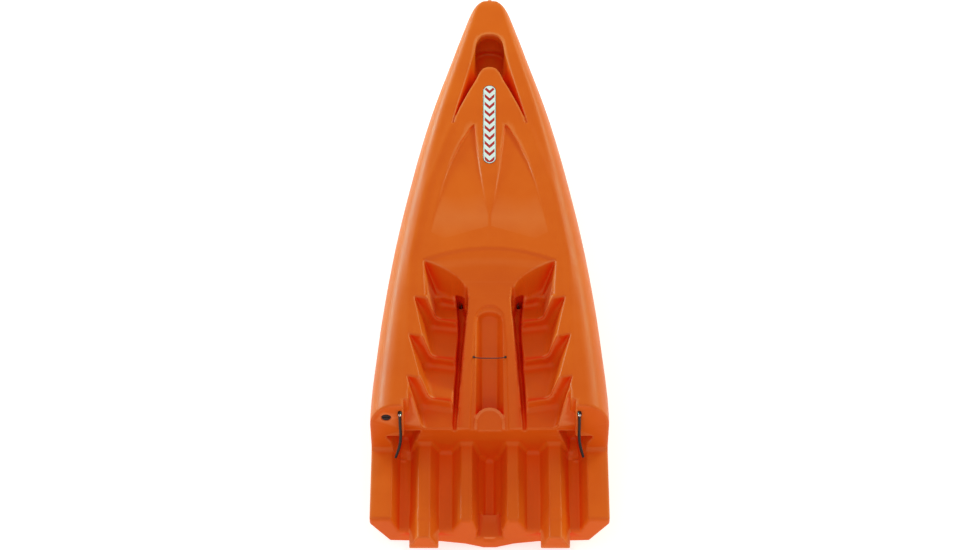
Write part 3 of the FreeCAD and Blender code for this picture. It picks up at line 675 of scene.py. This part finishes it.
def make_hull():
    """The skin as a mesh decimated to about SKIN_FACES triangles, with normals from the field and masks
    for painted shade in recesses and painted highlights on edges.
    """
    points = SKIN_POINTS * CELL + WHOLE_LOW
    mesh = bpy.data.meshes.new("hull_skin")
    faces = [list(map(int, face)) for face in SKIN_QUADS]
    faces += [list(map(int, face)) for face in SKIN_TRIANGLES]
    mesh.from_pydata((points * MM).tolist(), [], faces)
    mesh.validate()
    mesh.update()
    piece = bpy.data.objects.new("hull_skin", mesh)
    bpy.context.scene.collection.objects.link(piece)
    centre = np.array([p.center for p in mesh.polygons[:2000]])
    first = np.array([p.normal for p in mesh.polygons[:2000]])
    outward = gradient(WHOLE, WHOLE_LOW, centre / MM, CELL * 0.5)
    if (first * outward).sum() < 0:
        mesh.flip_normals()
    thin = piece.modifiers.new("thin", "DECIMATE")
    thin.ratio = min(1.0, SKIN_FACES / max(1, 2 * len(SKIN_QUADS)))
    bpy.context.view_layer.update()
    done = bpy.data.meshes.new_from_object(piece.evaluated_get(bpy.context.evaluated_depsgraph_get()))
    piece.modifiers.clear()
    piece.data = done
    bpy.data.meshes.remove(mesh)
    place = np.zeros(len(done.vertices) * 3, np.float32)
    done.vertices.foreach_get("co", place)
    normals = gradient(WHOLE, WHOLE_LOW, place.reshape(-1, 3) / MM, CELL * 0.9)
    done.polygons.foreach_set("use_smooth", [True] * len(done.polygons))
    done.normals_split_custom_set_from_vertices(normals.tolist())
    points = place.reshape(-1, 3) / MM
    # Masks kept on the mesh: painted shade in recesses and painted highlights on convex edges.
    for name, share in (("recess_shade", recess_shade_share(points, normals)), ("edge", edge_highlight_share(points, normals))):
        done.attributes.new(name, "FLOAT", "POINT").data.foreach_set("value", share.astype(np.float32))
    return piece


hull = make_hull()

# =====================================================================
# Materials
# =====================================================================

def shader(name, colour, roughness, specular=0.5):
    material = bpy.data.materials.new(name)
    material.use_nodes = True
    tree = material.node_tree
    surface = tree.nodes["Principled BSDF"]
    surface.inputs["Base Color"].default_value = (*colour, 1)
    surface.inputs["Roughness"].default_value = roughness
    surface.inputs["Specular IOR Level"].default_value = specular
    return material, tree, surface


def put(tree, kind, **settings):
    """A node with constants on its inputs."""
    node = tree.nodes.new(kind)
    for key, value in settings.items():
        node.inputs[key].default_value = value
    return node


def place_nodes(tree, stretch=(1, 1, 1)):
    """Texture position in metres, stretched along each axis."""
    spot = tree.nodes.new("ShaderNodeTexCoord")
    mapping = tree.nodes.new("ShaderNodeMapping")
    mapping.inputs["Scale"].default_value = stretch
    tree.links.new(spot.outputs["Object"], mapping.inputs["Vector"])
    return mapping.outputs["Vector"]


def noise(tree, vector, scale, detail=2.0, rough=0.5):
    node = put(tree, "ShaderNodeTexNoise", Scale=scale, Detail=detail, Roughness=rough)
    tree.links.new(vector, node.inputs["Vector"])
    return node.outputs["Fac"]


def remap(tree, value, low, high, to_low, to_high):
    node = tree.nodes.new("ShaderNodeMapRange")
    for key, number in (("From Min", low), ("From Max", high), ("To Min", to_low), ("To Max", to_high)):
        node.inputs[key].default_value = number
    tree.links.new(value, node.inputs["Value"])
    return node.outputs["Result"]


def calculate(tree, operation, first, second):
    node = tree.nodes.new("ShaderNodeMath")
    node.operation = operation
    for socket, value in zip(node.inputs, (first, second)):
        if isinstance(value, (int, float)):
            socket.default_value = value
        else:
            tree.links.new(value, socket)
    return node.outputs["Value"]


def mix(tree, factor, first, second):
    node = tree.nodes.new("ShaderNodeMix")
    node.data_type = "RGBA"
    sockets = [item for item in node.inputs if item.type == "RGBA"]
    tree.links.new(factor, node.inputs["Factor"])
    for socket, value in zip(sockets, (first, second)):
        if isinstance(value, tuple):
            socket.default_value = (*value, 1)
        else:
            tree.links.new(value, socket)
    return next(item for item in node.outputs if item.type == "RGBA")


def bump(tree, surface, height, distance, strength=1.0):
    node = tree.nodes.new("ShaderNodeBump")
    node.inputs["Distance"].default_value = distance
    node.inputs["Strength"].default_value = strength
    tree.links.new(height, node.inputs["Height"])
    tree.links.new(node.outputs["Normal"], surface.inputs["Normal"])


def attribute(tree, name):
    node = tree.nodes.new("ShaderNodeAttribute")
    node.attribute_name = name
    return node.outputs["Fac"]


def orange_plastic():
    """Rotomoulded polyethylene: clouded pigment, an orange-peel skin and faint rub marks, with painted
    shade in recesses and painted highlights on convex edges.
    """
    base, deep, worn = (0.86, 0.128, 0.006), (0.82, 0.113, 0.005), (0.87, 0.19, 0.04)
    material, tree, surface = shader("orange_polyethylene", base, 0.36, 0.15)
    vector = place_nodes(tree)
    cloud = remap(tree, noise(tree, vector, 5.5, 4, 0.55), 0.35, 0.65, 0, 1)
    colour = mix(tree, cloud, deep, base)
    streaks = noise(tree, place_nodes(tree, (260, 14, 260)), 1.0, 3, 0.6)
    rubbed = calculate(tree, "MULTIPLY", remap(tree, streaks, 0.66, 0.76, 0, 0.32),
                       remap(tree, noise(tree, vector, 9, 2), 0.5, 0.62, 0, 1))
    # Painted shade: the deeper a recess, the more its colour goes to a saturated dark red, standing in
    # for shade and red bounced light.
    recess_shade = remap(tree, attribute(tree, "recess_shade"), 0.24, 0.95, 0, 0.85)
    # Painted highlight: convex edges and ridges are lightened towards peach, standing in for the sheen
    # lamps leave on their rounding.
    edge = remap(tree, attribute(tree, "edge"), 0.12, 0.40, 0, 0.45)
    colour = mix(tree, recess_shade, mix(tree, rubbed, colour, worn), (0.90, 0.030, 0.001))
    tree.links.new(mix(tree, edge, colour, (0.98, 0.30, 0.10)), surface.inputs["Base Color"])
    # Painted shade as well: reflections are turned down deep in recesses.
    tree.links.new(remap(tree, recess_shade, 0, 1, 0.15, 0.03), surface.inputs["Specular IOR Level"])
    fine = noise(tree, vector, 420, 2, 0.5)
    peel = noise(tree, vector, 85, 2, 0.4)
    rough = calculate(tree, "ADD", remap(tree, noise(tree, vector, 22, 3), 0.3, 0.7, 0.33, 0.43),
                      calculate(tree, "MULTIPLY", rubbed, 0.5))
    tree.links.new(rough, surface.inputs["Roughness"])
    height = calculate(tree, "ADD", calculate(tree, "MULTIPLY", fine, 0.25), peel)
    bump(tree, surface, height, 0.0004, 0.55)
    return material


def rubber(name, colour, roughness=0.55):
    material, tree, surface = shader(name, colour, roughness, 0.4)
    vector = place_nodes(tree)
    dust = remap(tree, noise(tree, vector, 140, 3), 0.5, 0.75, 0, 0.45)
    tree.links.new(mix(tree, dust, colour, tuple(0.02 + 1.6 * part for part in colour)),
                   surface.inputs["Base Color"])
    bump(tree, surface, noise(tree, vector, 900, 2), 0.0002, 0.6)
    return material


def nylon():
    material, tree, surface = shader("black_nylon", (0.012, 0.012, 0.013), 0.34)
    vector = place_nodes(tree)
    rough = remap(tree, noise(tree, vector, 220, 2), 0.3, 0.7, 0.26, 0.44)
    tree.links.new(rough, surface.inputs["Roughness"])
    bump(tree, surface, noise(tree, vector, 1400, 2), 0.00012, 0.6)
    return material


def metal(name, colour, roughness):
    material, tree, surface = shader(name, colour, roughness)
    surface.inputs["Metallic"].default_value = 1.0
    vector = place_nodes(tree, (1, 1, 30))
    tree.links.new(remap(tree, noise(tree, vector, 160, 3), 0.3, 0.7, roughness - 0.07, roughness + 0.1),
                   surface.inputs["Roughness"])
    bump(tree, surface, noise(tree, vector, 500, 2), 0.00005, 0.4)
    return material


def braid():
    """Black braid: two crossing sets of strands, with painted shade down between them."""
    material, tree, surface = shader("braided_bungee", (0.012, 0.011, 0.011), 0.6)
    surface.inputs["Sheen Weight"].default_value = 0.25
    height = None
    for lean in (1, -1):
        spot = tree.nodes.new("ShaderNodeTexCoord")
        split = tree.nodes.new("ShaderNodeSeparateXYZ")
        tree.links.new(spot.outputs["Object"], split.inputs["Vector"])
        side = calculate(tree, "ADD", split.outputs["Y"], split.outputs["Z"])
        slant = calculate(tree, "ADD", split.outputs["X"], calculate(tree, "MULTIPLY", side, 0.8 * lean))
        strand = calculate(tree, "SINE", calculate(tree, "MULTIPLY", slant, 5200.0), 0.0)
        height = strand if height is None else calculate(tree, "MAXIMUM", height, strand)
    strand_tops_lit = remap(tree, height, -1, 1, 0, 1)
    # Painted shade: the braid is darker down between the strands and lighter on their tops.
    colour = mix(tree, strand_tops_lit, (0.004, 0.004, 0.004), (0.03, 0.027, 0.026))
    tree.links.new(colour, surface.inputs["Base Color"])
    bump(tree, surface, height, 0.0003, 0.8)
    return material


# metres
DECAL_HALF_WIDTH = 0.021
DECAL_AFT = 0.291
DECAL_FORE = 0.611
PRINT_REACH = 0.0165
RULE_REACH = 0.0192
CHEVRON_PITCH = 0.032
CHEVRON_SLANT = 1.1
CHEVRON_SHARE = 0.42


def printed_film():
    """White film with a dark rule round it and plain red chevrons."""
    material, tree, surface = shader("printed_film", (0.78, 0.76, 0.75), 0.22)
    surface.inputs["Coat Weight"].default_value = 0.3
    surface.inputs["Coat Roughness"].default_value = 0.12
    spot = tree.nodes.new("ShaderNodeTexCoord")
    split = tree.nodes.new("ShaderNodeSeparateXYZ")
    tree.links.new(spot.outputs["Object"], split.inputs["Vector"])
    side = calculate(tree, "ABSOLUTE", split.outputs["X"], 0.0)
    ends = calculate(tree, "ABSOLUTE", calculate(tree, "SUBTRACT", split.outputs["Y"],
                                                 (DECAL_AFT + DECAL_FORE) / 2), 0.0)
    straight = (DECAL_FORE - DECAL_AFT) / 2 - DECAL_HALF_WIDTH
    past = calculate(tree, "MAXIMUM", calculate(tree, "SUBTRACT", ends, straight), 0.0)
    reach = calculate(tree, "SQRT", calculate(tree, "ADD", calculate(tree, "MULTIPLY", side, side),
                                              calculate(tree, "MULTIPLY", past, past)), 0.0)
    wave = calculate(tree, "ADD", split.outputs["Y"], calculate(tree, "MULTIPLY", side, -CHEVRON_SLANT))
    cycle = calculate(tree, "FRACT", calculate(tree, "MULTIPLY", wave, 1 / CHEVRON_PITCH), 0.0)
    chevron = calculate(tree, "MULTIPLY", calculate(tree, "LESS_THAN", cycle, CHEVRON_SHARE),
                        calculate(tree, "LESS_THAN", reach, PRINT_REACH))
    paper = remap(tree, noise(tree, place_nodes(tree), 60, 3), 0.3, 0.7, 0, 1)
    ground = mix(tree, paper, (0.86, 0.84, 0.84), (0.93, 0.91, 0.91))
    printed = mix(tree, chevron, ground, (0.52, 0.012, 0.010))
    border = calculate(tree, "GREATER_THAN", reach, RULE_REACH)
    tree.links.new(mix(tree, border, printed, (0.015, 0.012, 0.012)), surface.inputs["Base Color"])
    bump(tree, surface, noise(tree, place_nodes(tree), 300, 2), 0.00005, 0.5)
    return material


hull.data.materials.append(orange_plastic())
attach(hull, "hull")
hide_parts("hull_shell")

BLACK_RUBBER = rubber("black_rubber", (0.016, 0.012, 0.010))
NYLON = nylon()
STEEL = metal("stainless_steel", (0.78, 0.77, 0.76), 0.24)
BRASS = metal("brass", (0.62, 0.42, 0.16), 0.3)
FINISHES = {"drain_insert": NYLON, "drain_plug": NYLON, "bungee_stud": NYLON, "anchor_insert": BRASS,
            "anchor_washer": STEEL, "anchor_bolt": STEEL, "cord_eye": BLACK_RUBBER,
            "drain_gasket": BLACK_RUBBER}
for name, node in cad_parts.items():
    finish = next((made for start, made in FINISHES.items() if name.startswith(start)), None)
    if finish:
        node.data.materials.clear()
        node.data.materials.append(finish)


# =====================================================================
# Decal: a thin film laid on the foredeck
# =====================================================================

def deck_height(places):
    """Height of the deck's skin above each plan point, in millimetres."""
    heights = np.zeros(len(places))
    found = np.zeros(len(places), bool)
    last = None
    for z in np.arange(402.0, 300.0, -2.0):
        here = sample(WHOLE, WHOLE_LOW, np.column_stack([places, np.full(len(places), z)]))
        if last is not None:
            hit = (~found) & (here < 0)
            heights[hit] = z + 2.0 * (-here[hit]) / (last[hit] - here[hit])
            found |= hit
        last = here
    return heights


def make_decal():
    """A round-ended strip of film, laid on the deck point by point."""
    rows, columns = 90, 14
    middle, half = (DECAL_AFT + DECAL_FORE) / 2, (DECAL_FORE - DECAL_AFT) / 2
    plan = []
    for row in range(rows + 1):
        offset = -half * math.cos(math.pi * row / rows)
        past = max(0.0, abs(offset) - (half - DECAL_HALF_WIDTH))
        width = math.sqrt(max(DECAL_HALF_WIDTH ** 2 - past ** 2, 1e-9))
        plan += [(width * (2 * column / columns - 1), middle + offset) for column in range(columns + 1)]
    plan = np.array(plan)
    height = deck_height(plan * 1000) * MM + 0.0003
    mesh = bpy.data.meshes.new("bow_stripe")
    step = columns + 1
    faces = [(r * step + c, r * step + c + 1, (r + 1) * step + c + 1, (r + 1) * step + c)
             for r in range(rows) for c in range(columns)]
    mesh.from_pydata(np.column_stack([plan, height]).tolist(), [], faces)
    mesh.polygons.foreach_set("use_smooth", [True] * len(mesh.polygons))
    piece = bpy.data.objects.new("bow_stripe", mesh)
    bpy.context.scene.collection.objects.link(piece)
    film = piece.modifiers.new("film", "SOLIDIFY")
    film.thickness = 0.0006
    film.offset = 0.6
    mesh.materials.append(printed_film())
    return piece


stripe = make_decal()
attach(stripe, "hull")
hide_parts("bow_decal")


# =====================================================================
# Cords
# =====================================================================

def cord_piece(name, points, diameter, material, end_radius=1.0):
    """A cord along its route, in metres; end_radius tapers its last point."""
    curve = bpy.data.curves.new(name, "CURVE")
    curve.dimensions = "3D"
    spline = curve.splines.new("NURBS")
    spline.points.add(len(points) - 1)
    for spot, place in zip(spline.points, points):
        spot.co = (*place, 1)
    spline.points[-1].radius = end_radius
    spline.order_u = 3
    spline.use_endpoint_u = True
    spline.resolution_u = 24
    curve.bevel_depth = diameter / 2
    curve.bevel_resolution = 8
    curve.use_fill_caps = True
    curve.materials.append(material)
    piece = bpy.data.objects.new(name, curve)
    bpy.context.scene.collection.objects.link(piece)
    return piece


CORD_DIAMETER = 0.0095
CORD_RUBBER = rubber("cord_rubber", (0.020, 0.010, 0.008), 0.5)
ROUTES = {
    "left": [(-0.284, -0.64659, 0.30400), (-0.284, -0.657, 0.269), (-0.282, -0.674, 0.230),
             (-0.286, -0.694, 0.195), (-0.300, -0.714, 0.164)],
    "right": [(0.284, -0.64659, 0.30400), (0.285, -0.657, 0.270), (0.284, -0.673, 0.231),
              (0.288, -0.692, 0.195), (0.299, -0.711, 0.162)],
}
for side, route in ROUTES.items():
    piece = cord_piece("coupling_rope_" + side, route, CORD_DIAMETER, CORD_RUBBER, 0.86)
    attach(piece, "cord_" + side)
    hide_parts("coupling_cord_" + side)

BUNGEE_DIAMETER = 0.003
BUNGEE_ROUTE = [(-0.051, -0.40237, 0.26805), (-0.051, -0.40576, 0.28008), (-0.043, -0.41217, 0.27983),
                (0.043, -0.41217, 0.27983), (0.051, -0.40576, 0.28008), (0.051, -0.40237, 0.26805)]
bungee = cord_piece("bottle_strap", BUNGEE_ROUTE, BUNGEE_DIAMETER, braid())
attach(bungee, "hull")
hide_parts("bottle_bungee")


# =====================================================================
# Stage
# =====================================================================

# name, place, target, size, power in watts, colour
LIGHTS = [("overhead", (0, -1.3, 4.4), (0, 0, 0.2), (3.6, 2.6), 14, (1, 1, 1)),
          ("left_strip", (-3.3, 2.2, 0.85), (0, 0.1, 0.3), (3.4, 0.5), 170, (0.30, 1.0, 0.98)),
          ("right_strip", (3.2, 2.2, 1.7), (0, 0.1, 0.3), (3.4, 0.4), 105, (0.36, 1.0, 0.66)),
          ("aft_fill", (0, -4.2, 2.3), (0, -0.85, 0.12), (2.6, 0.9), 15, (1, 0.98, 0.85)),
          ("left_box", (-3.2, 2.8, 2.7), (0, 0, 0.3), (1.1, 0.9), 22, (1, 1, 0.85)),
          ("right_box", (3.2, 2.8, 2.7), (0, 0, 0.3), (1.1, 0.9), 22, (1, 1, 0.85))]
FLOOR_GLOW = 0.62
SKY_STRENGTH = 0.49
CAMERA_TARGET = (-0.002, -0.103, 0.3)
CAMERA_RISE = math.radians(56)
CAMERA_DISTANCE = 9.8
SENSOR = 36.0
LENS = 110.4294


def area_light(name, place, target, size, power, colour):
    lamp = bpy.data.lights.new(name, "AREA")
    lamp.shape = "RECTANGLE"
    lamp.size, lamp.size_y = size
    lamp.energy = power
    lamp.color = colour
    holder = bpy.data.objects.new(name, lamp)
    holder.location = place
    holder.rotation_euler = (Vector(target) - Vector(place)).to_track_quat("-Z", "Y").to_euler()
    holder.visible_camera = False
    bpy.context.scene.collection.objects.link(holder)


def make_stage():
    """Pale floor, even sky and soft boxes."""
    bpy.ops.mesh.primitive_plane_add(size=40, location=(0, 0, 0))
    floor = bpy.context.object
    floor.name = "studio_floor"
    material, tree, surface = shader("studio_floor", (0.62, 0.62, 0.62), 0.9)
    surface.inputs["Emission Color"].default_value = (1, 1, 1, 1)
    surface.inputs["Emission Strength"].default_value = FLOOR_GLOW
    floor.data.materials.append(material)
    world = bpy.data.worlds.new("studio")
    world.use_nodes = True
    world.node_tree.nodes["Background"].inputs["Color"].default_value = (1, 1, 1, 1)
    world.node_tree.nodes["Background"].inputs["Strength"].default_value = SKY_STRENGTH
    bpy.context.scene.world = world
    for light in LIGHTS:
        area_light(*light)


def make_camera():
    """Behind the tongue and above it, on the hull's plane of symmetry."""
    lens = bpy.data.cameras.new("camera")
    lens.sensor_width = SENSOR
    lens.lens = LENS
    camera = bpy.data.objects.new("camera", lens)
    aim = Vector((0, -math.cos(CAMERA_RISE), math.sin(CAMERA_RISE)))
    camera.location = Vector(CAMERA_TARGET) + aim * CAMERA_DISTANCE
    camera.rotation_euler = (math.pi / 2 - CAMERA_RISE, 0, 0)
    bpy.context.scene.collection.objects.link(camera)
    bpy.context.scene.camera = camera


make_stage()
make_camera()
bpy.context.scene.view_settings.view_transform = "Standard"
